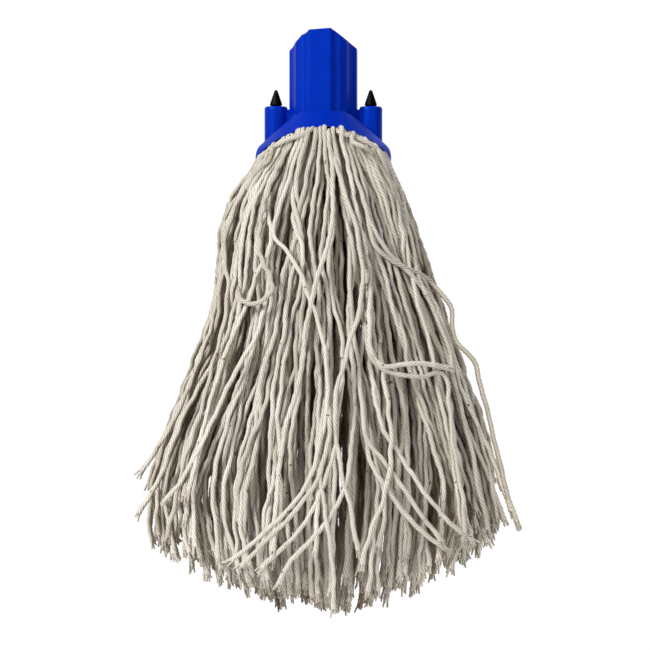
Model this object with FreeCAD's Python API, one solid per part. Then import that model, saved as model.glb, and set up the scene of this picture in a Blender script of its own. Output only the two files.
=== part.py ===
import FreeCAD, Part
import math
import os

# String mop head: a moulded socket with a fluted handle tube and a flared bell, a one-piece clip
# whose two barbed legs snap up through the bosses, and cotton yarn laid over the clip's bar.
# Millimetres. +Z runs up the handle, -Y is the front. The origin is on the handle's axis, at the
# level where the slanted rim of the tube crosses it.

V = FreeCAD.Vector
UP = V(0, 0, 1)

# handle tube
BORE_R = 14.1  # for a 28 mm handle
TUBE_R = 18.1  # over the flutes' crests
CORNER_CREST_R = 17.0  # the crests between front, sides and back are lower
GROOVE_DEPTH = 0.7  # below the straight line from crest to crest
RIM_SLANT = 33.0  # degrees, highest at the front
LIP_TOP_Z = 11.8  # the front lip has a short level top, from LIP_LEFT_X to LIP_RIGHT_X
LIP_LEFT_X = -7.8
LIP_RIGHT_X = 3.7
LIP_SIDE_Z = 0.9  # and falls straight to this level at both sides
FLUTES = 8
FLUTE_TURN = -6.5  # degrees that the whole flute pattern is turned about Z
WIDE_CREST = 19.0  # half the width of the front and back crests, in degrees
CREST = 8.0  # half the width of the others
CREST_EDGE_ROUND = 1.2
SEAT_Z = -33.0  # where the handle's end stops

# bell
BELL_TOP_R = TUBE_R
HOOD_TOP_Z = -32.3  # the front and back hoods leave the tube here
SIDE_TOP_Z = -35.2  # between the hoods, the bell leaves it lower
BELL_SLOPE = 1.0  # radius gained per millimetre down
HOOD_RIM_R = 38.3
SIDE_RIM_R = 36.0
BELL_ROUND = 8.0
RIM_Z = -58.0
HOOD_EDGE_Y = 13.0  # the hoods end in a ridge at this distance from the middle
RIDGE_ROUND = 0.9
WALL = 2.6
CEILING_Z = -36.5
ARCH_CROWN_Z = -41.0  # the yarn leaves through an arch in each hood
ARCH_R = 47.7

# bosses for the clip's legs
LEG_X = 25.1
BOSS_R = 6.1
BOSS_TOP_Z = -29.2
BOSS_BOTTOM_Z = -51.0
BOSS_EDGE_ROUND = 1.4
BOSS_BORE_R = 2.75
WEB_TOP_Z = -30.9
WEB_HALF_THICKNESS = 3.2
WEB_ROUND = 2.4

# clip
LEG_R = 2.5
BARB_R = 3.25
BARB_HEIGHT = 8.6
BARB_TIP_R = 0.95
BARB_EDGE = 0.55  # the bevel round the barb's foot, and the height of the band above it
BARB_SEAT_GAP = 0.15
BAR_TOP_Z = -57.5
BAR_HEIGHT = 5.0
BAR_HALF_LENGTH = 28.5
BAR_HALF_WIDTH = 4.5
BAR_EDGE_ROUND = 1.5

# yarn
GAP = 0.3  # between the yarn's solids and what is round them
CORE_BOTTOM_Z = -63.4
CORE_PROUD = 1.3  # how far the yarn swells out of the arches
CORE_HALF_DEPTH = 31.0
WAIST_HALF_WIDTH = 21.8
WAIST_HALF_DEPTH = 3.4
SKIRT_TOP_Z = -65.0
# level, half width and half depth of the hanging yarn
SKIRT_SECTIONS = [
    (SKIRT_TOP_Z, 40, 32),
    (-84, 49, 38),
    (-130, 60, 45),
    (-180, 78, 51),
    (-225, 94, 57),
    (-300, 99, 61),
]
SKIRT_ROUNDNESS = 0.62  # half depth over half width, for sharing the yarn out
SKIRT_END_R = 118.0  # the cut ends lie on a ball of this radius
SKIRT_END_Z = -296.0
BUNDLES_PER_SIDE = 9
BUNDLE_GAP = 0.5
HOLLOW_SCALE = 0.3  # the skirt's hollow middle, as a share of its width

FAR = 400.0


def polar(radius, degrees, z=0.0):
    """A point at an angle measured from +X about Z."""
    angle = math.radians(degrees)
    return V(radius * math.cos(angle), radius * math.sin(angle), z)


def block(low, high):
    """The box between two corners."""
    size = V(*high) - V(*low)
    return Part.makeBox(size.x, size.y, size.z, V(*low))


def slab(half_depth, keep_outside):
    """Everything nearer to the middle plane than half_depth, or everything beyond it."""
    middle = block((-FAR, -half_depth, -FAR), (FAR, half_depth, FAR))
    if not keep_outside:
        return middle
    return block((-FAR, -FAR, -FAR), (FAR, FAR, FAR)).cut(middle)


def revolved(edges):
    """The solid turned about Z by a closed outline in the XZ plane."""
    return Part.Face(Part.Wire(edges)).revolve(V(), UP, 360)


def line(start, end):
    return Part.LineSegment(start, end).toShape()


def bell(top_z, rim_r, bottom_z, offset):
    """A cone that rounds over into an upright rim, grown by offset all over."""
    slope_length = math.hypot(BELL_SLOPE, 1)
    cone_z = top_z + offset * slope_length / BELL_SLOPE
    rim = rim_r + offset
    turn = math.atan(BELL_SLOPE)
    radius = BELL_ROUND + offset
    tangent = radius * math.tan(turn / 2)
    corner_z = cone_z - (rim - BELL_TOP_R) / BELL_SLOPE
    arc_start = V(
        rim - tangent * BELL_SLOPE / slope_length, 0, corner_z + tangent / slope_length
    )
    arc_end = V(rim, 0, corner_z - tangent)
    arc_middle = V(
        rim - radius + radius * math.cos(turn / 2),
        0,
        corner_z - tangent + radius * math.sin(turn / 2),
    )
    apex = V(0, 0, cone_z + BELL_TOP_R / BELL_SLOPE)
    foot = V(rim, 0, bottom_z)
    centre = V(0, 0, bottom_z)
    return revolved(
        [
            line(apex, arc_start),
            Part.Arc(arc_start, arc_middle, arc_end).toShape(),
            line(arc_end, foot),
            line(foot, centre),
            line(centre, apex),
        ]
    )


def tube_outline():
    """The fluted outline of the handle tube: flat crests joined by shallow hollow grooves."""
    pitch = 360 / FLUTES
    crests = []
    for i in range(FLUTES):
        middle = -90 + FLUTE_TURN + i * pitch
        facing_front_or_back = i % (FLUTES // 2) == 0
        half = WIDE_CREST if facing_front_or_back else CREST
        radius = TUBE_R if i % 2 == 0 else CORNER_CREST_R
        crests.append((middle, half, radius))
    edges = []
    for i, (middle, half, radius) in enumerate(crests):
        next_middle, next_half, next_radius = crests[(i + 1) % FLUTES]
        if i == FLUTES - 1:
            next_middle += 360
        start = polar(radius, middle - half)
        end = polar(radius, middle + half)
        groove_end = polar(next_radius, next_middle - next_half)
        between = (end + groove_end) * 0.5
        groove_middle = between * (1 - GROOVE_DEPTH / between.Length)
        edges.append(line(start, end))
        edges.append(Part.Arc(end, groove_middle, groove_end).toShape())
    return Part.Wire(edges)


def upright_edges(shape):
    """The straight edges that run along Z."""
    found = []
    for edge in shape.Edges:
        if isinstance(edge.Curve, Part.Line) and abs(edge.tangentAt(0).z) > 0.999:
            found.append(edge)
    return found


def tube_body():
    """The solid tube with its slanted top, before it is bored."""
    height = 2 * TUBE_R
    prism = Part.Face(tube_outline()).extrude(UP * (height - CEILING_Z))
    prism.translate(UP * CEILING_Z)
    prism = prism.makeFillet(CREST_EDGE_ROUND, upright_edges(prism))
    above_rim = Part.makeBox(FAR, FAR, FAR, V(-FAR / 2, -FAR / 2, 0))
    above_rim.rotate(V(), V(1, 0, 0), -RIM_SLANT)
    corners = [
        V(-TUBE_R, -FAR, LIP_SIDE_Z),
        V(LIP_LEFT_X, -FAR, LIP_TOP_Z),
        V(LIP_RIGHT_X, -FAR, LIP_TOP_Z),
        V(TUBE_R, -FAR, LIP_SIDE_Z),
        V(TUBE_R, -FAR, FAR),
        V(-TUBE_R, -FAR, FAR),
    ]
    outline = Part.makePolygon(corners + corners[:1])
    above_lip = Part.Face(outline).extrude(V(0, 2 * FAR, 0))
    return prism.cut(above_rim).cut(above_lip)


def boss_body(side):
    """One boss and the web that ties it to the tube."""
    height = BOSS_TOP_Z - BOSS_BOTTOM_Z
    web_x = sorted((side * (BORE_R + 1), side * LEG_X))
    boss = Part.makeCylinder(BOSS_R, height, V(side * LEG_X, 0, BOSS_BOTTOM_Z))
    web = block(
        (web_x[0], -WEB_HALF_THICKNESS, BOSS_BOTTOM_Z),
        (web_x[1], WEB_HALF_THICKNESS, WEB_TOP_Z),
    )
    boss = boss.fuse(web).removeSplitter()
    corners = []
    for edge in upright_edges(boss):
        offset = abs(edge.CenterOfMass.x) - BORE_R - 1
        if offset > GAP and abs(abs(edge.CenterOfMass.y) - WEB_HALF_THICKNESS) < GAP:
            corners.append(edge)
    boss = boss.makeFillet(WEB_ROUND, corners)
    top_edges = []
    for edge in boss.Edges:
        if abs(edge.BoundBox.ZMin - BOSS_TOP_Z) < GAP:
            top_edges.append(edge)
    return boss.makeFillet(BOSS_EDGE_ROUND, top_edges)


def arch_prism(clearance):
    """What lies under the arch's curve, right through from front to back."""
    disc = Part.makeCylinder(
        ARCH_R - clearance, 2 * FAR, V(0, -FAR, ARCH_CROWN_Z - ARCH_R), V(0, 1, 0)
    )
    low = block((-FAR, -FAR, -FAR), (FAR, FAR, ARCH_CROWN_Z - ARCH_R))
    return disc.cut(low)


def hollow(clearance):
    """The space inside the bell, less a clearance all over."""
    bottom = RIM_Z - 2 * WALL
    inset = -WALL - clearance
    space = bell(SIDE_TOP_Z, SIDE_RIM_R, bottom, inset)
    hood_space = bell(HOOD_TOP_Z, HOOD_RIM_R, bottom, inset)
    hood_space = hood_space.common(slab(HOOD_EDGE_Y + WALL + clearance, True))
    ceiling = block((-FAR, -FAR, CEILING_Z - clearance), (FAR, FAR, FAR))
    return space.fuse(hood_space).cut(ceiling)


def ridge_edges(shape):
    """The outer edges where the hoods stop beside the bosses."""
    found = []
    for edge in shape.Edges:
        box = edge.BoundBox
        flat = box.YLength < GAP and abs(abs(box.YMin) - HOOD_EDGE_Y) < GAP
        if flat and box.ZLength > GAP:
            found.append(edge)
    return found


def socket():
    """The socket moulding."""
    hoods = bell(HOOD_TOP_Z, HOOD_RIM_R, RIM_Z, 0).common(slab(HOOD_EDGE_Y, True))
    hoods = hoods.cut(block((-FAR, -FAR, HOOD_TOP_Z), (FAR, FAR, FAR)))
    hoods = hoods.makeFillet(RIDGE_ROUND, ridge_edges(hoods))
    shell = bell(SIDE_TOP_Z, SIDE_RIM_R, RIM_Z, 0).fuse(hoods)
    shell = shell.cut(hollow(0))
    shell = shell.cut(arch_prism(0).common(slab(HOOD_EDGE_Y, True)))
    body = shell.fuse(tube_body())
    for side in (-1, 1):
        body = body.fuse(boss_body(side).cut(hollow(0)))
    depth = 2 * TUBE_R - SEAT_Z
    body = body.cut(Part.makeCylinder(BORE_R, depth, UP * SEAT_Z))
    for side in (-1, 1):
        foot = V(side * LEG_X, 0, RIM_Z)
        body = body.cut(Part.makeCylinder(BOSS_BORE_R, -RIM_Z, foot))
    return body.removeSplitter()


def barb(side):
    """One leg with the barbed head that shows above its boss."""
    seat = BOSS_TOP_Z + BARB_SEAT_GAP
    tip = seat + BARB_HEIGHT
    foot = BAR_TOP_Z - BAR_HEIGHT / 2
    slope = math.atan2(BARB_R, BARB_HEIGHT)
    shoulder = V(BARB_TIP_R * math.cos(slope), 0, tip - BARB_TIP_R + BARB_TIP_R * math.sin(slope))
    half_round = (math.pi / 2 + slope) / 2
    tip_middle = V(
        BARB_TIP_R * math.cos(half_round), 0, tip - BARB_TIP_R + BARB_TIP_R * math.sin(half_round)
    )
    points = [
        V(0, 0, foot),
        V(LEG_R, 0, foot),
        V(LEG_R, 0, seat),
        V(BARB_R - BARB_EDGE, 0, seat),
        V(BARB_R, 0, seat + BARB_EDGE),
        V(BARB_R, 0, seat + 2 * BARB_EDGE),
        shoulder,
    ]
    edges = [line(a, b) for a, b in zip(points, points[1:])]
    edges.append(Part.Arc(shoulder, tip_middle, V(0, 0, tip)).toShape())
    edges.append(line(V(0, 0, tip), points[0]))
    leg = revolved(edges)
    leg.translate(V(side * LEG_X, 0, 0))
    return leg


def yarn_clip():
    """The bar under the yarn, with its two legs."""
    bar = block(
        (-BAR_HALF_LENGTH, -BAR_HALF_WIDTH, BAR_TOP_Z - BAR_HEIGHT),
        (BAR_HALF_LENGTH, BAR_HALF_WIDTH, BAR_TOP_Z),
    )
    bar = bar.makeFillet(BAR_EDGE_ROUND, bar.Edges)
    return bar.fuse([barb(-1), barb(1)]).removeSplitter()


def yarn_core():
    """The middles of the yarn lengths, clamped between the bar and the socket."""
    inside = hollow(GAP)
    proud = bell(HOOD_TOP_Z, HOOD_RIM_R, CORE_BOTTOM_Z, CORE_PROUD)
    outside = proud.common(arch_prism(GAP)).common(slab(HOOD_EDGE_Y + 2 * WALL, True))
    core = inside.fuse(outside).common(slab(CORE_HALF_DEPTH, False))
    core = core.cut(block((-FAR, -FAR, -FAR), (FAR, FAR, CORE_BOTTOM_Z)))
    for side in (-1, 1):
        beside = sorted((side * WAIST_HALF_WIDTH, side * FAR))
        core = core.cut(
            block((beside[0], -WAIST_HALF_DEPTH, -FAR), (beside[1], WAIST_HALF_DEPTH, FAR))
        )
    bar_half_width = BAR_HALF_WIDTH + GAP
    core = core.cut(
        block((-FAR, -bar_half_width, -FAR), (FAR, bar_half_width, BAR_TOP_Z + GAP))
    )
    return core.removeSplitter()


def skirt(scale):
    """The whole of the hanging yarn, or its hollow middle at a smaller scale."""
    rings = []
    for z, half_width, half_depth in SKIRT_SECTIONS:
        ring = Part.Ellipse(V(0, 0, z), half_width * scale, half_depth * scale)
        rings.append(Part.Wire(ring.toShape()))
    return Part.makeLoft(rings, True, False)


def skirt_with_round_end():
    """The hanging yarn, hollow in the middle, with its cut ends on a ball."""
    body = skirt(1).cut(skirt(HOLLOW_SCALE))
    ball_z = SKIRT_END_Z + SKIRT_END_R
    below = block((-FAR, -FAR, -FAR), (FAR, FAR, ball_z))
    return body.cut(below.cut(Part.makeSphere(SKIRT_END_R, UP * ball_z)))


def share_angle(step):
    """The direction, in degrees, of an edge between two bundles: the steps share out the yarn evenly."""
    angle = math.radians(step * 180 / BUNDLES_PER_SIDE)
    return math.degrees(math.atan2(SKIRT_ROUNDNESS * math.sin(angle), math.cos(angle)))


def bundle(whole, first, last):
    """The yarn between two directions, set in from each by half the gap between bundles."""
    middle = (first + last) / 2
    inset = polar(BUNDLE_GAP / 2 / math.sin(math.radians((last - first) / 2)), middle)
    corners = [inset, inset + polar(FAR, first), inset + polar(FAR, last), inset]
    wedge = Part.Face(Part.makePolygon(corners)).extrude(UP * -FAR)
    return whole.common(wedge)


def write(node, shape):
    """One solid to one STEP file."""
    solids = shape.Solids
    if len(solids) != 1 or not solids[0].isValid():
        raise RuntimeError(f"{node}: {len(solids)} solids, valid {shape.isValid()}")
    solids[0].exportStep(f"parts/{node}.step")
    print(f"{node}: {solids[0].Volume / 1000:.2f} cm3")


def main():
    os.makedirs("parts", exist_ok=True)
    write("socket", socket())
    write("yarn_clip", yarn_clip())
    write("yarn_core", yarn_core())
    whole = skirt_with_round_end()
    for i in range(BUNDLES_PER_SIDE):
        number = i + 1
        right = share_angle(BUNDLES_PER_SIDE - i - 1)
        left = share_angle(BUNDLES_PER_SIDE - i)
        write(f"yarn_front_{number}", bundle(whole, -left, -right))
        write(f"yarn_back_{number}", bundle(whole, right, left))


main()
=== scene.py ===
import math

import bpy
import numpy as np
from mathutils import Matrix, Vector


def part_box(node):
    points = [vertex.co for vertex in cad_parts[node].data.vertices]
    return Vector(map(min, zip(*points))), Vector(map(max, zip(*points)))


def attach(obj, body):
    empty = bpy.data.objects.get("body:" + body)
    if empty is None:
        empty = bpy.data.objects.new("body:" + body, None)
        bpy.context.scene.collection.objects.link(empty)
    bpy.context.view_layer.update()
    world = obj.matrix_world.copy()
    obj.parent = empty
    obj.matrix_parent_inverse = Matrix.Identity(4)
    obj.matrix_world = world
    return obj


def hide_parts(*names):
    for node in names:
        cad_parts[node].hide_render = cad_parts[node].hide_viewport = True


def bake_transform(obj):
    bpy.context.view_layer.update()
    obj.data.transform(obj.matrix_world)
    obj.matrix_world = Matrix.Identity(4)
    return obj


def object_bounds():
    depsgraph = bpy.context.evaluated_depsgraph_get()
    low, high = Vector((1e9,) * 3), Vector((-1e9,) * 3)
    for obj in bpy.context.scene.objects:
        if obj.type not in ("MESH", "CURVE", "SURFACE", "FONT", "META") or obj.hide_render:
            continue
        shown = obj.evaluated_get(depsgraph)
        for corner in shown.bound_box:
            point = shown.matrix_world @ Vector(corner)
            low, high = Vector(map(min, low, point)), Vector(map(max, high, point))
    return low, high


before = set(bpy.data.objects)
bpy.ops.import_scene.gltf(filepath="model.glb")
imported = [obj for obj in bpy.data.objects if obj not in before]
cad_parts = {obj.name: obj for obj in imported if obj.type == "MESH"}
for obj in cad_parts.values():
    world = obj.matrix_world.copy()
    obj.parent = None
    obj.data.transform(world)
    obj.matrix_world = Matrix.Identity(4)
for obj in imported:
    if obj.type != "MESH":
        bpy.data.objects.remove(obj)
cad_box = [list(corner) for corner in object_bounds()]
rng = np.random.default_rng(7)

MM = 0.001
SIDES = {"front": -1, "back": 1}
BUNDLES = 9  # to a side

# ---------------------------------------------------------------- the socket, as the yarn meets it
RIM_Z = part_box("socket")[0].z
ARCH_R = 47.7 * MM
ARCH_CENTRE_Z = -88.7 * MM
ARCH_FOOT_Z = RIM_Z - 1.5 * MM  # the lowest strands of an arch pass under the rim
HOOD_TOP_Z = -32.3 * MM
HOOD_TOP_R = 18.1 * MM
HOOD_SLOPE = 1.0
HOOD_RIM_R = 38.3 * MM
HOOD_EDGE_Y = 13 * MM
HOOD_GAP = 0.3 * MM

# ---------------------------------------------------------------- the yarn
YARN_R = 1.3 * MM
PLIES = 5
PLY_PITCH = 13.5 * MM
PLY_PROFILE = [1.0, 0.95, 0.81, 0.95]  # radius from one ply's crest to the next
LAYER_COUNTS = [36, 34, 32, 30, 27, 24, 19]  # strands in each layer under an arch, outermost first
LAYER_STEP = 2.3 * MM
LAYER_CLEARANCE = 1.6 * MM
LAYER_SETBACK = 4.0 * MM  # how much further in each layer turns down
LAST_OUTER_LAYER = 2  # layers 0 to 2 are seen, and sway and cross the most
RINGS = 200
SPAN_STEPS = 6  # points worked out between two given ones
ANY_PHASE = 6.3  # a little over a full turn
PLY_TIGHTNESS = (0.85, 1.15)
SLUB = 0.05  # how much thicker and thinner a strand gets, along itself and from strand to strand
SLUB_LENGTH = 9 * MM
END_OPENING = 0.25  # how much wider a cut end is
END_OPENING_LENGTH = 9 * MM
END_PARTING = 4  # how much deeper its plies part
CORE_HALF_LENGTH = 9 * MM
CORE_FLAT_HALF_MM = 4  # half the flat stretch of a clamped middle
CORE_NARROWING = 0.8
CORE_RINGS = 16
CORE_SEED = 3
TURN_ROOM_MM = (4, 1.5)  # past the clamped middle before an outermost and an inner strand turn down

# ---------------------------------------------------------------- the frayed tips
FRAY_R = 0.75 * MM
FRAY_PITCH = 6 * MM
FRAY_PROFILE = [1.0, 0.8]
FRAY_STRANDS = 3  # fine threads in each ply's end
FRAY_THINNING = 0.35
FRAY_POINTS = 7
FRAY_START_MM = 2.5  # how far back from the cut a ply's end begins
FRAY_OFFSET_MM = 0.8  # how far off the strand's middle
FRAY_LENGTH_MM = (1.2, 4.5)
FRAY_SPREAD = (0.0, 0.32)
FRAY_CURVE = 1.6
FRAY_TURN = 0.3
FRAY_WANDER_MM = 0.4

# ---------------------------------------------------------------- where the strands leave the arches
ROW_STAGGER = 0.25  # in strand spacings, so that one layer's strands cover the next one's gaps
PLACE_JITTER = 0.15
CROWN_SAG_MM = 0.7
FORWARD_MM = (-1, 3.2)  # how unevenly the outermost strands turn down
FORWARD_RISE = 0.4  # how much higher a strand arches, by how far forward it turns down
NOTCH_X = 2.4 * MM  # where the front strands part at the crown
NOTCH_HALF_WIDTH = 1.8 * MM
NOTCH_DEPTH = 1.2 * MM

# ---------------------------------------------------------------- how the strands fall, turns in degrees
LEVEL_STEP = 4 * MM
LEVEL_TOP_MM = -42
LEVEL_BOTTOM_MM = -302
FAN_POWER = 0.9  # below 1, the strands near an arch's middle fan out more
SIDE_PLACE = 0.75  # past this place along an arch, a strand hangs at the side
SIDE_TURN_TOP = 5
SIDE_TURN_END = 9
INNER_FAN = 0.94
DRIFT = (8, 3)  # how far outer and inner strands drift round on their way down
CROSSING_SHARE = 0.26
CROSSING_TURN = 15
INSET_HASTE = 1.6  # the layers part sooner than the strands turn
CLOSING = 0.13  # how much nearer to the middle plane each layer starts
CLOSING_HASTE = 3
MIN_HALF_DEPTH = 1.5 * YARN_R
END_LEVEL = -0.26  # the level at which the ends' length is worked out
END_SCATTER_MM = 8
END_LONGER_MM = 5
SHORT_SHARE = 0.4
SHORT_MM = (4, 28)
TOP_GAP = 2.5 * MM  # under the root, before the first level counts
DROP_MM = 22  # the height over which a strand turns down out of its arch
DROP_LESS_AT_SIDE_MM = 10
DROP_LESS_INSIDE_MM = 4
SWELL_LENGTH = 50 * MM  # the sway grows over this length
SHARED_WAVES = 7
SHARED_WAVES_MM = (55, 150)
OWN_WAVES = 4
OWN_WAVES_MM = (26, 110)
SHARED_SWAY, OWN_SWAY, INNER_SWAY = 1.2, 1.5, 0.7  # in mm
STEPS_APART = 70
STEP_PUSH = 0.42
STEP_HOME = 0.015
TOUCHING = 0.96  # strands may press into each other by the rest
SMOOTH_OWN, SMOOTH_NEIGHBOUR = 0.6, 0.2
CRIMP_RUN = 0.29  # a strand's length, near enough
CRIMP_FADE = 0.05
CRIMP_WAVES_MM = (14, 34)
CRIMP_SIZE = 0.011  # of the wave's length
CRIMP_RANGE = (0.4, 1.2)

# ---------------------------------------------------------------- the shade painted into the yarn's colour
FLANK_PAINTED_LIGHT = 0.3  # how light the painted shade leaves the sides of an outer strand, between its neighbours
FLANK_SHADE_EDGE, FLANK_SHADE_FADE = 0.3, 0.9
PAINTED_SHADE_DEPTH = 12 * MM  # how deep into the yarn the painted shade is at its darkest, at the top
PAINTED_SHADE_DEPTH_AT_ENDS = 130 * MM
PAINTED_SHADE_POWER = 1.3
TONE_MEAN, TONE_SPREAD = 0.55, 0.22
CORE_TONES = (0.2, 0.7)

# level, reach to the left, reach to the right and reach to the front of the hanging yarn
OUTLINE = np.array(
    [
        (-38, 25, 25, 25),
        (-58, 37, 36.5, 31),
        (-70, 47, 41, 34),
        (-84, 54.5, 46, 37.5),
        (-107, 56.5, 53, 41.5),
        (-130, 58, 64, 45),
        (-158, 66, 74, 49),
        (-184, 77, 84, 52),
        (-209, 90, 91, 55.5),
        (-235, 96, 99, 58.5),
        (-270, 91, 96, 60.5),
        (-300, 84, 90, 61),
    ]
) * MM
ROUNDNESS = 0.62  # depth over width
END_LOW_Z = -293 * MM
END_R = 130 * MM  # the cut ends lie near a ball of this radius

ROUTE_EDGE = 0.92  # routes keep off the outline's edge, where the front turns back steeply
ROUTE_LEAD = 14 * MM  # how far above its route a strand leaves its own place
ROUTE_LEAD_SLOPE = 1.6  # and how much more, by its distance from the route
# Loose strands lying over the front: how far they stand off the rest, then x and z down each one, in mm.
ROUTES = {
    "rim_right_a": (0.2, [(9, -44.4), (17, -46.8), (26, -51.4), (33.5, -59), (38, -68), (41.5, -80),
                          (45, -96), (48, -112), (52, -126), (60, -142), (66, -160), (70, -182),
                          (76, -204), (81, -230), (86, -252)]),
    "rim_right_b": (0.0, [(15, -49), (23, -53), (31, -60), (36, -70), (39, -84), (43, -100), (46, -118),
                          (50, -136), (56, -156), (60, -180), (66, -206), (70, -234), (73, -258)]),
    "rim_left_a": (0.2, [(-12, -45.8), (-19, -48), (-26, -51.5), (-33, -58), (-38, -66), (-43, -76),
                         (-49, -90), (-52, -106), (-50, -124), (-52, -144), (-58, -166), (-64, -190),
                         (-72, -214), (-78, -240), (-82, -256)]),
    "right_bulge": (1.0, [(26, -102), (34, -110), (41, -114), (50, -118), (56, -122), (62, -128.5),
                          (67, -136), (68, -147), (71, -155), (79, -164), (82, -174), (86, -190),
                          (90, -206), (94, -224), (98, -238), (101.5, -249)]),
    "right_bulge_inner": (0.5, [(25, -92), (31, -103), (38, -111), (47, -120), (56, -130), (61, -140),
                                (65, -152), (70, -166), (76, -184), (83, -206), (88, -228), (91, -246)]),
    "side_loop_upper": (4.0, [(24, -152), (26.5, -162), (32, -166.5), (41, -165.5), (50, -165),
                              (58, -166), (64.5, -167.5)]),
    "side_loop_lower": (3.0, [(23, -155), (27, -165), (32, -168.5), (41, -171), (52, -172), (58.5, -170),
                              (62.5, -171), (65, -177), (66, -190), (68, -210), (72, -232), (74, -254)]),
    "curled_end": (5.5, [(-28, -72), (-33, -92), (-33, -108), (-28.5, -118), (-26.5, -125), (-30, -131),
                         (-36.5, -134), (-42, -132.5), (-44.5, -128.5)]),
    "curled_end_under": (1.5, [(-30, -76), (-27, -96), (-30, -110), (-35, -119), (-37.5, -127),
                               (-41, -137), (-48, -152), (-56, -175), (-63, -200), (-70, -232)]),
    "lowest_end": (2.0, [(-3, -210), (0, -235), (4, -262), (5.5, -280), (5, -292)]),
    "left_sweep_a": (3.0, [(3, -200), (-2, -222), (-11, -237), (-23, -250), (-35, -262), (-43, -270)]),
    "left_sweep_b": (2.6, [(-2, -206), (-7, -224), (-16, -238), (-28, -250), (-40, -261), (-48, -267)]),
    "left_sweep_c": (1.6, [(5, -212), (-2, -232), (-9, -247), (-21, -260), (-32, -271)]),
    "left_sweep_d": (1.0, [(12, -226), (4, -243), (-6, -256), (-17, -267), (-23, -279)]),
    "right_sweep_a": (2.2, [(22, -202), (30, -214), (37, -223), (47, -238), (61, -257)]),
    "right_sweep_b": (1.2, [(24, -214), (34, -231), (44, -245), (56, -256), (63, -261)]),
    "right_sweep_c": (1.8, [(30, -196), (42, -216), (54, -234), (68, -250), (78, -257)]),
    "steep_right": (3.2, [(35, -200), (34, -222), (30, -238), (24, -253), (20, -269)]),
    "far_left_a": (0.5, [(-70, -176), (-79, -196), (-88, -211), (-95.5, -222)]),
    "far_left_b": (0.5, [(-72, -190), (-80, -210), (-86, -226), (-91, -234), (-97, -244)]),
    "far_right_a": (0.4, [(72, -178), (81, -198), (89, -216), (94, -230), (99, -243)]),
    "far_right_b": (0.3, [(74, -196), (82, -214), (89, -231), (95, -248)]),
    "left_cross": (1.6, [(-34, -148), (-44, -166), (-52, -182), (-62, -204), (-74, -226), (-82, -236)]),
    "mid_cross": (2.0, [(4, -96), (-3, -120), (-9, -146), (-12, -172), (-20, -200), (-24, -232),
                        (-26, -262)]),
    "crown_cross": (1.6, [(8, -66), (14, -84), (19, -104), (20, -130), (12, -160), (6, -186), (8, -214),
                          (14, -240), (18, -262)]),
    "loop_left": (1.4, [(-26, -96), (-18.5, -107), (-12, -118), (-8, -129), (-3.5, -141), (1, -160),
                        (2, -185), (-2, -215), (-4, -262)]),
}

# ---------------------------------------------------------------- the looks, as (position, colour) stops
WHITE = (1, 1, 1)
STRAND_TONES = [(0.0, (0.46, 0.425, 0.36)), (0.45, (0.66, 0.63, 0.57)), (1.0, (0.81, 0.785, 0.735))]
# painted shade, darkest deep inside the yarn and lightest on its outside
PAINTED_SHADE_TONES = [(0.0, (0.17, 0.125, 0.07)), (0.5, (0.66, 0.60, 0.50)), (0.88, WHITE)]
BLOTCH_TONES = [(0.3, (0.80, 0.78, 0.74)), (0.65, WHITE)]
# painted shade in the grooves between the plies
PLY_GROOVE_PAINTED_SHADE = [(0.0, (0.50, 0.43, 0.33)), (0.7, WHITE)]
FIBRE_TONES = [(0.3, (0.82, 0.79, 0.75)), (0.6, WHITE)]
SPECK_STOPS = [(0.80, (0, 0, 0)), (0.84, WHITE)]
SPECK_COLOUR = (0.20, 0.11, 0.05, 1)
SCUFF_STOPS = [(0.66, (0, 0, 0)), (0.80, (0.5, 0.5, 0.5))]
FLOOR_TONES = [(0.0, (0.88, 0.88, 0.88)), (1.0, (0.92, 0.92, 0.92))]
ROOM_TONES = [(0.0, (0.10, 0.10, 0.10)), (0.4, (0.22, 0.22, 0.22)), (0.8, (0.6, 0.6, 0.6))]
BACKDROP = (1.02, 1.02, 1.02, 1)
FLOOR_DROP = 155 * MM
FLOOR_HALF_WIDTH = 0.6
LIGHT_TARGET = (0, 0, -0.14)
# each light's place and width in metres, and its power in watts
LIGHTS = {
    "key": ((-1.6, -1.6, 1.3), 0.9, 92),
    "fill": ((1.5, -1.6, 0.3), 1.8, 20),
    "back": ((1.3, 2.0, 1.0), 1.6, 75),
}


def smooth(x):
    """0 to 1 with level ends."""
    x = np.clip(x, 0, 1)
    return x * x * (3 - 2 * x)


def reach(z):
    """How far the yarn reaches to the left, to the right and to the front at a level."""
    rows = OUTLINE[::-1]
    return [np.interp(z, rows[:, 0], rows[:, k]) for k in (1, 2, 3)]


def hood_reach(x, z):
    """How far the hood's outer face is from the middle plane."""
    radius = np.minimum(HOOD_TOP_R + (HOOD_TOP_Z - z) * HOOD_SLOPE, HOOD_RIM_R)
    return np.sqrt(np.maximum(radius**2 - x**2, HOOD_EDGE_Y**2))


def roots():
    """Where each strand leaves its arch: side, layer, place from -1 to 1 along the arch, x, z and how far
    forward of the hood's face it turns down."""
    rows = []
    for sign in SIDES.values():
        for layer, count in enumerate(LAYER_COUNTS):
            radius = ARCH_R - LAYER_CLEARANCE - layer * LAYER_STEP
            spread = math.acos((ARCH_FOOT_Z - ARCH_CENTRE_Z) / radius)
            for i in range(count):
                stagger = ROW_STAGGER * (-1) ** layer * sign
                place = (i + 0.5 + stagger + rng.uniform(-PLACE_JITTER, PLACE_JITTER)) / count * 2 - 1
                angle = spread * place
                sag = rng.uniform(0, CROWN_SAG_MM) * MM if layer == 0 else 0
                x = (radius - sag) * math.sin(angle)
                z = ARCH_CENTRE_Z + (radius - sag) * math.cos(angle)
                if layer == 0 and sign < 0 and abs(x - NOTCH_X) < NOTCH_HALF_WIDTH:
                    z -= NOTCH_DEPTH
                forward = rng.uniform(*FORWARD_MM) * MM if layer == 0 else 0
                rows.append((sign, layer, place, x, z, forward))
    return np.array(rows)


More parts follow.
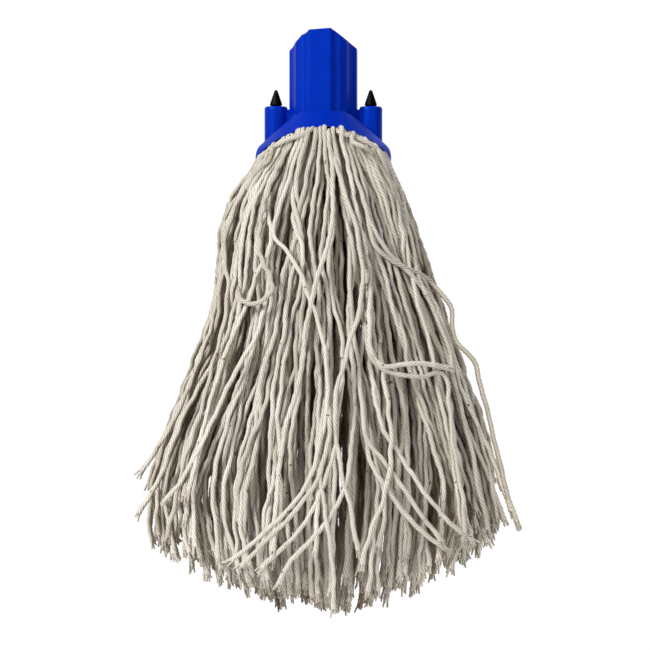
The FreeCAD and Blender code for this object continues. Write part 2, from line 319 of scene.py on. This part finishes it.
def leaving(layer, x, z):
    """How far from the middle plane a strand turns down, out of its arch."""
    outermost, inner = TURN_ROOM_MM
    nearest = CORE_HALF_LENGTH + np.where(np.asarray(layer) > 0, inner, outermost) * MM
    return np.maximum(hood_reach(x, z) + HOOD_GAP - layer * LAYER_SETBACK, nearest)


def clear_hood(points, levels):
    """Keeps strands that have left the arch in front of the hood."""
    z = levels[:, None]
    x, y = points[..., 0], points[..., 1]
    past_arch = np.hypot(x, z - ARCH_CENTRE_Z) > ARCH_R - YARN_R
    need = hood_reach(x, z) + YARN_R
    hit = past_arch & (z > RIM_Z - YARN_R) & (np.abs(y) < need) & (np.abs(x) < HOOD_RIM_R + YARN_R)
    points[..., 1] = np.where(hit, np.sign(y) * need, y)
    return points


def envelope(turn, inset, z, closing=1.0):
    """A point of the hanging yarn: turn in radians from +X, inset from the outer face.

    closing above 1 brings the front and the back halves nearer to each other.
    """
    left, right, front = reach(z)
    half_width = np.where(np.cos(turn) < 0, left, right) - inset
    half_depth = np.maximum(front - inset * closing, MIN_HALF_DEPTH)
    return np.stack([half_width * np.cos(turn), half_depth * np.sin(turn)], -1)


def along_face(turn, z):
    """The direction round the outer face."""
    left, right, front = reach(z)
    half_width = np.where(np.cos(turn) < 0, left, right)
    d = np.stack([-half_width * np.sin(turn), front * np.cos(turn)], -1)
    return d / np.linalg.norm(d, axis=-1, keepdims=True)


def hang(root):
    """Levels, strand points at each level, which strands are present there, and where each strand ends."""
    sign, layer, place, x0, z0, forward = root.T
    n = len(root)
    outer = layer <= LAST_OUTER_LAYER
    turn0 = np.radians(-90 + 90 * np.sign(place) * np.abs(place) ** FAN_POWER)
    at_side = np.abs(place) > SIDE_PLACE
    turn0[at_side] += np.radians(rng.normal(0, SIDE_TURN_TOP, at_side.sum()))
    turn0 = turn0 * -sign  # the back is the front's mirror image
    even = np.arccos(INNER_FAN * place) * sign  # spaced evenly from left to right
    turn1 = np.where(outer, turn0, even) + np.radians(rng.normal(0, 1, n) * np.where(outer, *DRIFT))
    crossing = outer & (rng.random(n) < CROSSING_SHARE)
    turn1[crossing] += np.radians(rng.normal(0, CROSSING_TURN, crossing.sum()))
    turn1[at_side] += np.radians(rng.normal(0, SIDE_TURN_END, at_side.sum()))
    inset0 = YARN_R + layer * LAYER_STEP
    # how deep inside the ends lie, in mm
    spread = 3 * layer + 9 * rng.random(n) ** 1.6
    spread = np.where(outer, spread, 4 + (layer - LAST_OUTER_LAYER) * rng.uniform(5, 13, n))
    inset1 = YARN_R + spread * MM
    flat = envelope(turn1, inset1, np.full(n, END_LEVEL))
    end = END_LOW_Z + END_R - np.sqrt(END_R**2 - (flat**2).sum(-1))
    end = end + np.abs(rng.normal(0, END_SCATTER_MM, n)) * MM - rng.uniform(0, END_LONGER_MM, n) * MM
    end = end + np.where(outer & (rng.random(n) < SHORT_SHARE), rng.uniform(*SHORT_MM, n), 0) * MM

    levels = np.arange(LEVEL_TOP_MM, LEVEL_BOTTOM_MM, -LEVEL_STEP / MM) * MM
    z = levels[:, None]
    fall = np.clip((z0 - z) / (z0 - end), 0, 1)
    turn = turn0 + (turn1 - turn0) * smooth(fall)
    inset = inset0 + (inset1 - inset0) * smooth(fall * INSET_HASTE)
    grid = np.broadcast_to(z, turn.shape)
    closing = 1 + CLOSING * layer * (1 - smooth(fall * CLOSING_HASTE))
    target = envelope(turn, inset, grid, closing)

    face = along_face(turn, grid)
    face_out = np.stack([face[..., 1], -face[..., 0]], -1)
    face_out *= np.sign((face_out * target).sum(-1, keepdims=True))
    swell = smooth((z0 - z) / SWELL_LENGTH)
    shared = np.zeros_like(turn)
    for _ in range(SHARED_WAVES):
        across = rng.uniform(4, 16)
        down = 2 * math.pi / (rng.uniform(*SHARED_WAVES_MM) * MM)
        phase = rng.uniform(0, 2 * math.pi)
        by_layer = rng.uniform(-1.2, 1.2)
        shared += np.sin(across * turn + down * z + phase + by_layer * layer)
    own = np.zeros_like(turn)
    own_out = np.zeros_like(turn)
    for _ in range(OWN_WAVES):
        down = 2 * math.pi / (rng.uniform(*OWN_WAVES_MM, n) * MM)
        own += rng.uniform(0.3, 1.1, n) * np.sin(down * z + rng.uniform(0, ANY_PHASE, n))
        own_out += rng.uniform(0.2, 0.8, n) * np.sin(down * z + rng.uniform(0, ANY_PHASE, n))
    own_out = own_out * (1 + outer)
    sway = np.where(outer, SHARED_SWAY * shared + OWN_SWAY * own, INNER_SWAY * own) * MM * swell
    target = target + face * sway[..., None] + face_out * (own_out * MM * swell)[..., None]

    start = np.stack([x0, sign * (leaving(layer, x0, z0) + forward)], -1)
    to_side = smooth((np.abs(place) - 0.6) / 0.4)
    drop_length = DROP_MM - DROP_LESS_AT_SIDE_MM * to_side - DROP_LESS_INSIDE_MM * smooth(layer - 1)
    drop = smooth((z0 - z) / (drop_length * MM))[..., None]
    target = start * (1 - drop) + target * drop
    present = (z < z0 - TOP_GAP) & (z > end)
    return levels, target, present, end


def relax(points, levels, present):
    """Strands push each other apart where they would share space, and stay smooth."""
    gap = 2 * YARN_R * TOUCHING
    home = points.copy()
    both = present[:, :, None] & present[:, None, :]
    both &= ~np.eye(points.shape[1], dtype=bool)[None]
    for _ in range(STEPS_APART):
        d = points[:, :, None, :] - points[:, None, :, :]
        dist = np.sqrt((d**2).sum(-1)) + 1e-9
        push = np.where(both & (dist < gap), (gap - dist) / dist, 0)
        points = points + STEP_PUSH * (d * push[..., None]).sum(2)
        points = points + STEP_HOME * (home - points)
        above = np.vstack([points[:1], points[:-1]])
        below = np.vstack([points[1:], points[-1:]])
        has_above = np.vstack([present[:1] & False, present[:-1]])[..., None]
        has_below = np.vstack([present[1:], present[-1:] & False])[..., None]
        inside = has_above & has_below & present[..., None]
        smoothed = points * SMOOTH_OWN + SMOOTH_NEIGHBOUR * (above + below)
        points = np.where(inside, smoothed, points)
        points = clear_hood(points, levels)
    return points


def resample(path, count):
    """A smooth line through the points, at even steps."""
    path = np.asarray(path)
    ends = np.vstack([2 * path[0] - path[1], path, 2 * path[-1] - path[-2]])
    dense = []
    for i in range(len(path) - 1):
        p0, p1, p2, p3 = ends[i : i + 4]
        t = np.linspace(0, 1, SPAN_STEPS, endpoint=False)[:, None]
        dense.append(
            0.5
            * (
                2 * p1
                + (p2 - p0) * t
                + (2 * p0 - 5 * p1 + 4 * p2 - p3) * t**2
                + (3 * p1 - p0 - 3 * p2 + p3) * t**3
            )
        )
    dense = np.vstack(dense + [path[-1:]])
    run = np.r_[0, np.cumsum(np.linalg.norm(np.diff(dense, axis=0), axis=1))]
    at = np.linspace(0, run[-1], count)
    return np.stack([np.interp(at, run, dense[:, k]) for k in range(3)], -1)


def on_front(lift, route):
    """A route's points laid on the front of the hanging yarn."""
    x, z = np.array(route).T * MM
    left, right, front = reach(z)
    share = np.clip(np.abs(x) / np.where(x < 0, left, right), 0, ROUTE_EDGE)
    depth = front * np.sqrt(1 - share**2)
    on_hood = np.where(z > RIM_Z - YARN_R, hood_reach(x, z) + YARN_R, 0)
    return np.column_stack([x, -np.maximum(depth, on_hood) - lift * MM, z])


def choose_routes(root, levels, points, present):
    """For each loose strand, the outer front strand that passes nearest its first point, its route, and
    how far above the route's start it leaves its own place."""
    chosen = {}
    for lift, route in ROUTES.values():
        line = on_front(lift, route)
        k = int(np.argmin(np.abs(levels - line[0, 2])))
        miss = np.abs(points[k, :, 0] - line[0, 0]) + np.abs(points[k, :, 1] - line[0, 1])
        wrong = (root[:, 0] > 0) | (root[:, 1] > LAST_OUTER_LAYER) | ~present[k]
        wrong[list(chosen)] = True
        nearest = int(np.argmin(np.where(wrong, np.inf, miss)))
        chosen[nearest] = (line, ROUTE_LEAD + ROUTE_LEAD_SLOPE * miss[nearest])
    return chosen


def crimp(paths):
    """The small kinks soft cotton yarn keeps, along many lines."""
    strands = len(paths)
    run = np.linspace(0, CRIMP_RUN, RINGS)[None]
    fade = smooth(run / CRIMP_FADE)
    for axis in (0, 1):
        for longest in CRIMP_WAVES_MM:
            turns = 2 * math.pi / (rng.uniform(0.5 * longest, longest, (strands, 1)) * MM)
            size = CRIMP_SIZE * longest * rng.uniform(*CRIMP_RANGE, (strands, 1)) * MM
            phase = rng.uniform(0, ANY_PHASE, (strands, 1))
            paths[..., axis] += fade * size * np.sin(turns * run + phase)
    return paths


def strand_paths():
    """The front and back strands' centre lines, and their roots."""
    root = roots()
    levels, points, present, end = hang(root)
    points = relax(points, levels, present)
    routes = choose_routes(root, levels, points, present)
    paths = []
    for i, (sign, layer, _, x0, z0, forward) in enumerate(root):
        here = np.flatnonzero(present[:, i])
        line = np.column_stack([points[here, i], levels[here]])
        if i in routes:
            route, above = routes[i]
            line = np.vstack([line[line[:, 2] > route[0, 2] + above], route])
        else:
            last = (levels[here[-1]] - end[i]) / LEVEL_STEP
            line = np.vstack([line, line[-1] + (line[-1] - line[-2]) * last])
        leave = leaving(layer, x0, z0) + forward - 1.5 * MM
        rise = 0.4 * MM + FORWARD_RISE * max(forward, 0)
        head = [  # from the clamped middle, over the arch's edge
            (0.76 * x0, sign * CORE_HALF_LENGTH, z0 + 0.3 * MM),
            (0.90 * x0, sign * (leave + CORE_HALF_LENGTH) / 2, z0 + 1.0 * MM),
            (0.98 * x0, sign * leave, z0 + rise),
        ]
        paths.append(resample(np.vstack([head, line]), RINGS))
    return root, crimp(np.array(paths))


def painted_shade_openness(paths):
    """Painted shade: 1 where a line is on the outside of the yarn, falling to 0, darkest, well inside it.
    """
    x, y, z = paths[..., 0], paths[..., 1], paths[..., 2]
    left, right, front = reach(z)
    width = np.where(x < 0, left, right)
    share = np.sqrt((x / width) ** 2 + (y / front) ** 2)
    inset = (1 - share) * np.minimum(width, front) - 2 * YARN_R
    fall = np.clip((RIM_Z - z) / (RIM_Z - END_LOW_Z), 0, 1)
    return 1 - smooth(inset / (PAINTED_SHADE_DEPTH + (PAINTED_SHADE_DEPTH_AT_ENDS - PAINTED_SHADE_DEPTH) * fall**PAINTED_SHADE_POWER))


def outward(paths):
    """The level direction out of the hanging yarn at each point of many lines."""
    left, right, front = reach(paths[..., 2])
    width = np.where(paths[..., 0] < 0, left, right)
    out = np.stack([paths[..., 0] / width**2, paths[..., 1] / front**2, 0 * width], -1)
    return out / (np.linalg.norm(out, axis=-1, keepdims=True) + 1e-6)


def frames_along(paths):
    """Tangents and turning-free normals of many lines at once."""
    tangent = np.gradient(paths, axis=1)
    tangent /= np.linalg.norm(tangent, axis=-1, keepdims=True)
    normal = np.empty_like(paths)
    first = np.cross(tangent[:, 0], [1.0, 0.2, 0.1])
    normal[:, 0] = first / np.linalg.norm(first, axis=-1, keepdims=True)
    for k in range(1, paths.shape[1]):
        v = normal[:, k - 1]
        t = tangent[:, k]
        v = v - t * (v * t).sum(-1, keepdims=True)
        normal[:, k] = v / np.linalg.norm(v, axis=-1, keepdims=True)
    return tangent, normal


def twisted(paths, radius, pitch, profile, plies, open_out, thin_out, seed):
    """Vertices of plied yarn along many lines, strands x rings x points round, with how near each is to a
    ply's crest and how far it faces out of the yarn.

    open_out is how much wider a cut end is, its plies parting; thin_out is how much thinner.
    """
    own = np.random.default_rng(seed)
    strands, rings = paths.shape[:2]
    tangent, normal = frames_along(paths)
    side = np.cross(tangent, normal)
    step = np.linalg.norm(np.diff(paths, axis=1), axis=-1)
    run = np.concatenate([np.zeros((strands, 1)), np.cumsum(step, axis=1)], axis=1)
    around = len(profile) * plies
    base = np.arange(around) / around * 2 * math.pi
    tightness = own.uniform(*PLY_TIGHTNESS, (strands, 1))
    angle = -2 * math.pi * run / (pitch * tightness) + own.uniform(0, ANY_PHASE, (strands, 1))
    slub = 1 + SLUB * np.sin(run / SLUB_LENGTH + own.uniform(0, ANY_PHASE, (strands, 1)))
    slub *= own.normal(1, SLUB, (strands, 1))
    to_end = smooth(1 - (run[:, -1:] - run) / END_OPENING_LENGTH)[..., None]
    phi = base[None, None] + angle[..., None]
    shape = np.tile(profile, plies)
    depth = 1 - (1 - shape) * (1 + END_PARTING * open_out * to_end)
    r = radius * slub[..., None] * (1 + (open_out - thin_out) * to_end) * depth
    spoke = np.cos(phi)[..., None] * normal[:, :, None] + np.sin(phi)[..., None] * side[:, :, None]
    verts = paths[:, :, None] + r[..., None] * spoke
    facing = (spoke * outward(paths)[:, :, None]).sum(-1)
    crest = (shape - shape.min()) / (shape.max() - shape.min())
    crest = np.broadcast_to(crest, (strands, rings, around))
    return verts, crest, facing


def tube_faces(strands, rings, around):
    """Quads of many tubes whose vertices are stored one after another, and their end faces."""
    s = np.arange(strands)[:, None, None] * rings * around
    k = np.arange(rings - 1)[None, :, None] * around
    j = np.arange(around)[None, None, :]
    a = s + k + j
    b = s + k + (j + 1) % around
    quads = np.stack([a, b, b + around, a + around], -1).reshape(-1, 4)
    first = (np.arange(strands)[:, None] * rings * around + np.arange(around))[:, ::-1]
    last = np.arange(strands)[:, None] * rings * around + (rings - 1) * around + np.arange(around)
    return quads, np.vstack([first, last])


def build(name, parts, material):
    """One mesh object from several sets of tubes: (what twisted gives, tone, painted shade at each ring).
    """
    verts, crests, tones, painted_shades, loops, starts = [], [], [], [], [], []
    offset = 0
    corner = 0
    for (points, crest, facing), tone, painted_shade_rings in parts:
        strands, rings, around = points.shape[:3]
        quads, caps = tube_faces(strands, rings, around)
        for faces in (quads, caps):
            starts.append(corner + np.arange(len(faces)) * faces.shape[1])
            corner += faces.size
            loops.append((faces + offset).reshape(-1))
        offset += strands * rings * around
        verts.append(points.reshape(-1, 3))
        crests.append(crest.reshape(-1))
        tones.append(np.repeat(tone, rings * around))
        # painted shade on the sides of outer strands, which face their neighbours
        lit = FLANK_PAINTED_LIGHT + (1 - FLANK_PAINTED_LIGHT) * smooth((facing + FLANK_SHADE_EDGE) / FLANK_SHADE_FADE)
        painted_shades.append((painted_shade_rings[..., None] * lit).reshape(-1))
    verts = np.vstack(verts).astype(np.float32)
    loops = np.concatenate(loops).astype(np.int32)
    starts = np.concatenate(starts).astype(np.int32)
    mesh = bpy.data.meshes.new(name)
    mesh.vertices.add(len(verts))
    mesh.vertices.foreach_set("co", verts.reshape(-1))
    mesh.loops.add(len(loops))
    mesh.loops.foreach_set("vertex_index", loops)
    mesh.polygons.add(len(starts))
    mesh.polygons.foreach_set("loop_start", starts)
    for key, values in (("ply_crest", crests), ("strand_tone", tones), ("painted_shade_openness", painted_shades)):
        attribute = mesh.attributes.new(key, "FLOAT", "POINT")
        attribute.data.foreach_set("value", np.concatenate(values).astype(np.float32))
    mesh.update(calc_edges=True)
    mesh.validate()
    mesh.shade_smooth()
    mesh.materials.append(material)
    obj = bpy.data.objects.new(name, mesh)
    bpy.context.scene.collection.objects.link(obj)
    return obj


def frayed_plies(paths, seed):
    """The short ends of the plies, spread out past each strand's cut."""
    own = np.random.default_rng(seed)
    lines = []
    for path in paths:
        tip = path[-1]
        along = path[-1] - path[-4]
        along /= np.linalg.norm(along)
        across = np.cross(along, [0.3, 1.0, 0.2])
        across /= np.linalg.norm(across)
        third = np.cross(along, across)
        begin = own.uniform(0, ANY_PHASE)
        for k in range(PLIES):
            angle = begin + k * 2 * math.pi / PLIES + own.normal(0, FRAY_TURN)
            out = math.cos(angle) * across + math.sin(angle) * third
            length = own.uniform(*FRAY_LENGTH_MM) * MM
            spread = own.uniform(*FRAY_SPREAD)
            t = np.linspace(0, 1, FRAY_POINTS)[:, None]
            line = tip - along * FRAY_START_MM * MM + out * FRAY_OFFSET_MM * MM
            line = line + along * (length + FRAY_START_MM * MM) * t
            line = line + out * spread * length * t**FRAY_CURVE
            line = line + own.normal(0, FRAY_WANDER_MM, 3) * MM * t**2
            lines.append(line)
    return np.array(lines)


def node_material(name):
    """A new material with its nodes, its links and its shader."""
    material = bpy.data.materials.new(name)
    material.use_nodes = True
    nodes = material.node_tree.nodes
    return material, nodes, material.node_tree.links, nodes["Principled BSDF"]


def add(nodes, kind, **settings):
    """A shader node with its properties and its inputs set."""
    node = nodes.new(kind)
    for key, value in settings.items():
        if key in node.inputs:
            node.inputs[key].default_value = value
        else:
            setattr(node, key, value)
    return node


def noise(nodes, links, scale, detail=3.0, roughness=0.6):
    """Noise fixed to the object's own space."""
    place = add(nodes, "ShaderNodeTexCoord")
    node = add(nodes, "ShaderNodeTexNoise", Scale=scale, Detail=detail, Roughness=roughness)
    links.new(place.outputs["Object"], node.inputs["Vector"])
    return node


def ramp(nodes, links, source, stops):
    """A colour ramp over (position, colour) stops."""
    node = nodes.new("ShaderNodeValToRGB")
    node.color_ramp.elements[0].position = stops[0][0]
    node.color_ramp.elements[0].color = (*stops[0][1], 1)
    node.color_ramp.elements[1].position = stops[-1][0]
    node.color_ramp.elements[1].color = (*stops[-1][1], 1)
    for position, color in stops[1:-1]:
        node.color_ramp.elements.new(position).color = (*color, 1)
    links.new(source, node.inputs["Fac"])
    return node


def mix(nodes, links, factor, a, b, blend_type="MIX"):
    """Mixes two colours; each input is a value or another node's output."""
    node = nodes.new("ShaderNodeMix")
    node.data_type = "RGBA"
    node.blend_type = blend_type
    for value, key in ((factor, 0), (a, 6), (b, 7)):  # the sockets of a colour mix
        if hasattr(value, "is_linked"):
            links.new(value, node.inputs[key])
        else:
            node.inputs[key].default_value = value
    return node.outputs[2]


def yarn_material():
    """Unbleached cotton: creams that differ from strand to strand, seed specks, and painted shade between
    the plies, deep inside the yarn and on the strands' flanks."""
    material, nodes, links, shader = node_material("cotton_yarn")
    tone = add(nodes, "ShaderNodeAttribute", attribute_name="strand_tone")
    crest = add(nodes, "ShaderNodeAttribute", attribute_name="ply_crest")
    base = ramp(nodes, links, tone.outputs["Fac"], STRAND_TONES)
    # painted shade: darker deep inside the yarn and on the strands' flanks
    painted_shade_input = add(nodes, "ShaderNodeAttribute", attribute_name="painted_shade_openness")
    shade = ramp(nodes, links, painted_shade_input.outputs["Fac"], PAINTED_SHADE_TONES)
    blotch = noise(nodes, links, scale=45.0)
    blotches = ramp(nodes, links, blotch.outputs["Fac"], BLOTCH_TONES)
    colour = mix(nodes, links, 0.8, base.outputs["Color"], blotches.outputs["Color"], "MULTIPLY")
    # painted shade in the grooves between the plies
    painted_groove_shade = ramp(nodes, links, crest.outputs["Fac"], PLY_GROOVE_PAINTED_SHADE)
    colour = mix(nodes, links, 1.0, colour, painted_groove_shade.outputs["Color"], "MULTIPLY")
    colour = mix(nodes, links, 1.0, colour, shade.outputs["Color"], "MULTIPLY")
    fibre = noise(nodes, links, scale=1400.0, detail=2.0, roughness=0.7)
    fibres = ramp(nodes, links, fibre.outputs["Fac"], FIBRE_TONES)
    colour = mix(nodes, links, 0.7, colour, fibres.outputs["Color"], "MULTIPLY")
    speck = noise(nodes, links, scale=420.0, detail=0.0)
    specks = ramp(nodes, links, speck.outputs["Fac"], SPECK_STOPS)
    colour = mix(nodes, links, specks.outputs["Color"], colour, SPECK_COLOUR)
    links.new(colour, shader.inputs["Base Color"])
    shader.inputs["Roughness"].default_value = 0.95
    shader.inputs["Specular IOR Level"].default_value = 0.15
    shader.inputs["Sheen Weight"].default_value = 0.25
    shader.inputs["Sheen Roughness"].default_value = 0.5
    bump = add(nodes, "ShaderNodeBump", Strength=0.5, Distance=0.0004)
    links.new(fibre.outputs["Fac"], bump.inputs["Height"])
    links.new(bump.outputs["Normal"], shader.inputs["Normal"])
    return material


def moulded_material(name, colour, scuffed, glint, roughness, specular):
    """Moulded plastic: a faint orange peel, slight tone changes and fine scuffs. glint tints the
    highlights."""
    material, nodes, links, shader = node_material(name)
    cloud = noise(nodes, links, scale=60.0, detail=4.0)
    darker = tuple(c * 0.88 for c in colour)
    tones = ramp(nodes, links, cloud.outputs["Fac"], [(0.3, darker), (0.7, colour)])
    scuff = noise(nodes, links, scale=260.0, detail=8.0, roughness=0.75)
    scuffs = ramp(nodes, links, scuff.outputs["Fac"], SCUFF_STOPS)
    mixed = mix(nodes, links, scuffs.outputs["Color"], tones.outputs["Color"], (*scuffed, 1))
    links.new(mixed, shader.inputs["Base Color"])
    least, most = roughness - 0.05, roughness + 0.08
    spans = {"From Min": 0.3, "From Max": 0.7, "To Min": least, "To Max": most}
    gloss = add(nodes, "ShaderNodeMapRange", **spans)
    links.new(scuff.outputs["Fac"], gloss.inputs["Value"])
    links.new(gloss.outputs["Result"], shader.inputs["Roughness"])
    shader.inputs["Specular IOR Level"].default_value = specular
    shader.inputs["Specular Tint"].default_value = (*glint, 1)
    peel = noise(nodes, links, scale=900.0, detail=2.0)
    bump = add(nodes, "ShaderNodeBump", Strength=0.12, Distance=0.0003)
    links.new(peel.outputs["Fac"], bump.inputs["Height"])
    links.new(bump.outputs["Normal"], shader.inputs["Normal"])
    return material


def dress(node, material):
    """Gives a CAD node its finished material."""
    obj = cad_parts[node]
    obj.data.materials.clear()
    obj.data.materials.append(material)


def make_core(root, paths, material):
    """The clamped middles of the yarn lengths: each joins a front strand to its back strand."""
    half = len(root) // 2
    lines = []
    for i in range(half):
        front, back = paths[i, 0], paths[half + i, 0]
        middle = (front + back) / 2
        middle[0] *= CORE_NARROWING
        flat = np.array([0, CORE_FLAT_HALF_MM * MM, 0])
        lines.append(resample([front, middle - flat, middle + flat, back], CORE_RINGS))
    lines = np.array(lines)
    tubes = twisted(lines, YARN_R, PLY_PITCH, PLY_PROFILE, PLIES, 0, 0, CORE_SEED)
    tone = rng.uniform(*CORE_TONES, half)
    # the clamped middles take the darkest painted shade all along
    piece = build("yarn_middles", [(tubes, tone, np.zeros(lines.shape[:2]))], material)
    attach(piece, "root")
    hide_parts("yarn_core")


def make_bundles(root, paths, material):
    """The hanging strands, shared out to the bundles from left to right."""
    for side, sign in SIDES.items():
        mine = np.flatnonzero(root[:, 0] == sign)
        middle = paths[mine][:, RINGS // 3 :].mean(1)  # of the lower two thirds
        out = np.maximum(middle[:, 1] * sign, 0)  # a side strand may hang just past the middle plane
        turn = np.arctan2(out / ROUNDNESS, middle[:, 0])
        order = mine[np.argsort(-turn)]
        for number, members in enumerate(np.array_split(order, BUNDLES), 1):
            lines = paths[members]
            tone = np.clip(rng.normal(TONE_MEAN, TONE_SPREAD, len(members)), 0, 1)
            seed = 100 * number + sign
            tubes = twisted(lines, YARN_R, PLY_PITCH, PLY_PROFILE, PLIES, END_OPENING, 0, seed)
            ends = frayed_plies(lines, seed)
            frays = (FRAY_PROFILE, FRAY_STRANDS, 0, FRAY_THINNING)
            end_tubes = twisted(ends, FRAY_R, FRAY_PITCH, *frays, seed)
            parts = [
                (tubes, tone, painted_shade_openness(lines)),
                (end_tubes, np.repeat(tone, PLIES), painted_shade_openness(ends)),
            ]
            piece = build(f"strands_{side}_{number}", parts, material)
            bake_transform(piece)
            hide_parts(f"yarn_{side}_{number}")


def make_stage():
    """A plain pale floor well under the hanging yarn."""
    floor_z = cad_box[0][2] - FLOOR_DROP
    mesh = bpy.data.meshes.new("floor")
    half = FLOOR_HALF_WIDTH
    corners = [(x, y, floor_z) for x, y in ((-half, -half), (half, -half), (half, half), (-half, half))]
    mesh.from_pydata(corners, [], [(0, 1, 2, 3)])
    floor = bpy.data.objects.new("floor", mesh)
    bpy.context.scene.collection.objects.link(floor)
    material, nodes, links, shader = node_material("pale_floor")
    grain = noise(nodes, links, scale=8.0)
    tones = ramp(nodes, links, grain.outputs["Fac"], FLOOR_TONES)
    links.new(tones.outputs["Color"], shader.inputs["Base Color"])
    shader.inputs["Roughness"].default_value = 0.9
    mesh.materials.append(material)


def area_light(name, place, size, power):
    """A square light aimed at the middle of the object."""
    light = bpy.data.lights.new(name, "AREA")
    light.size = size
    light.energy = power
    obj = bpy.data.objects.new(name, light)
    obj.location = place
    obj.rotation_euler = (Vector(LIGHT_TARGET) - Vector(place)).to_track_quat("-Z", "Y").to_euler()
    bpy.context.scene.collection.objects.link(obj)
    return obj


def make_light():
    """A soft key from the upper left, a weaker fill and a light from behind, in a room that is bright
    behind the object and dim before it. The camera sees a plain pale backdrop instead of the room, in
    every direction."""
    scene = bpy.context.scene
    world = bpy.data.worlds.new("studio")
    world.use_nodes = True
    nodes, links = world.node_tree.nodes, world.node_tree.links
    direction = nodes.new("ShaderNodeTexCoord")
    axes = nodes.new("ShaderNodeSeparateXYZ")
    links.new(direction.outputs["Generated"], axes.inputs[0])
    room = ramp(nodes, links, axes.outputs["Y"], ROOM_TONES)
    seen = nodes.new("ShaderNodeLightPath").outputs["Is Camera Ray"]
    colour = mix(nodes, links, seen, room.outputs["Color"], BACKDROP)
    links.new(colour, nodes["Background"].inputs["Color"])
    scene.world = world
    for name, (place, size, power) in LIGHTS.items():
        light = area_light(name, place, size, power)
        light.visible_glossy = name == "key"  # the others would glint on the hood's edges
    scene.view_settings.view_transform = "Standard"


def make_camera():
    """Level with the middle of the picture, from the front. width_seen is at the object's middle plane."""
    distance = 2.5
    width_seen = 0.3445
    sensor_width = 36
    data = bpy.data.cameras.new("camera")
    data.sensor_width = sensor_width
    data.lens = sensor_width * distance / width_seen
    data.clip_end = 50
    camera = bpy.data.objects.new("camera", data)
    camera.location = (0.85 * MM, -distance, -145 * MM)
    camera.rotation_euler = (math.pi / 2, 0, 0)
    bpy.context.scene.collection.objects.link(camera)
    bpy.context.scene.camera = camera


make_camera()
make_light()
make_stage()
blue = moulded_material(
    "blue_plastic",
    colour=(0.0002, 0.021, 0.385),
    scuffed=(0.002, 0.032, 0.41),
    glint=(0.15, 0.75, 1),
    roughness=0.34,
    specular=0.24,
)
black = moulded_material(
    "black_plastic",
    colour=(0.0012, 0.0012, 0.0012),
    scuffed=(0.006, 0.006, 0.006),
    glint=WHITE,
    roughness=0.5,
    specular=0.08,
)
dress("socket", blue)
dress("yarn_clip", black)
cotton = yarn_material()
root, paths = strand_paths()
make_core(root, paths, cotton)
make_bundles(root, paths, cotton)

bpy.context.view_layer.update()
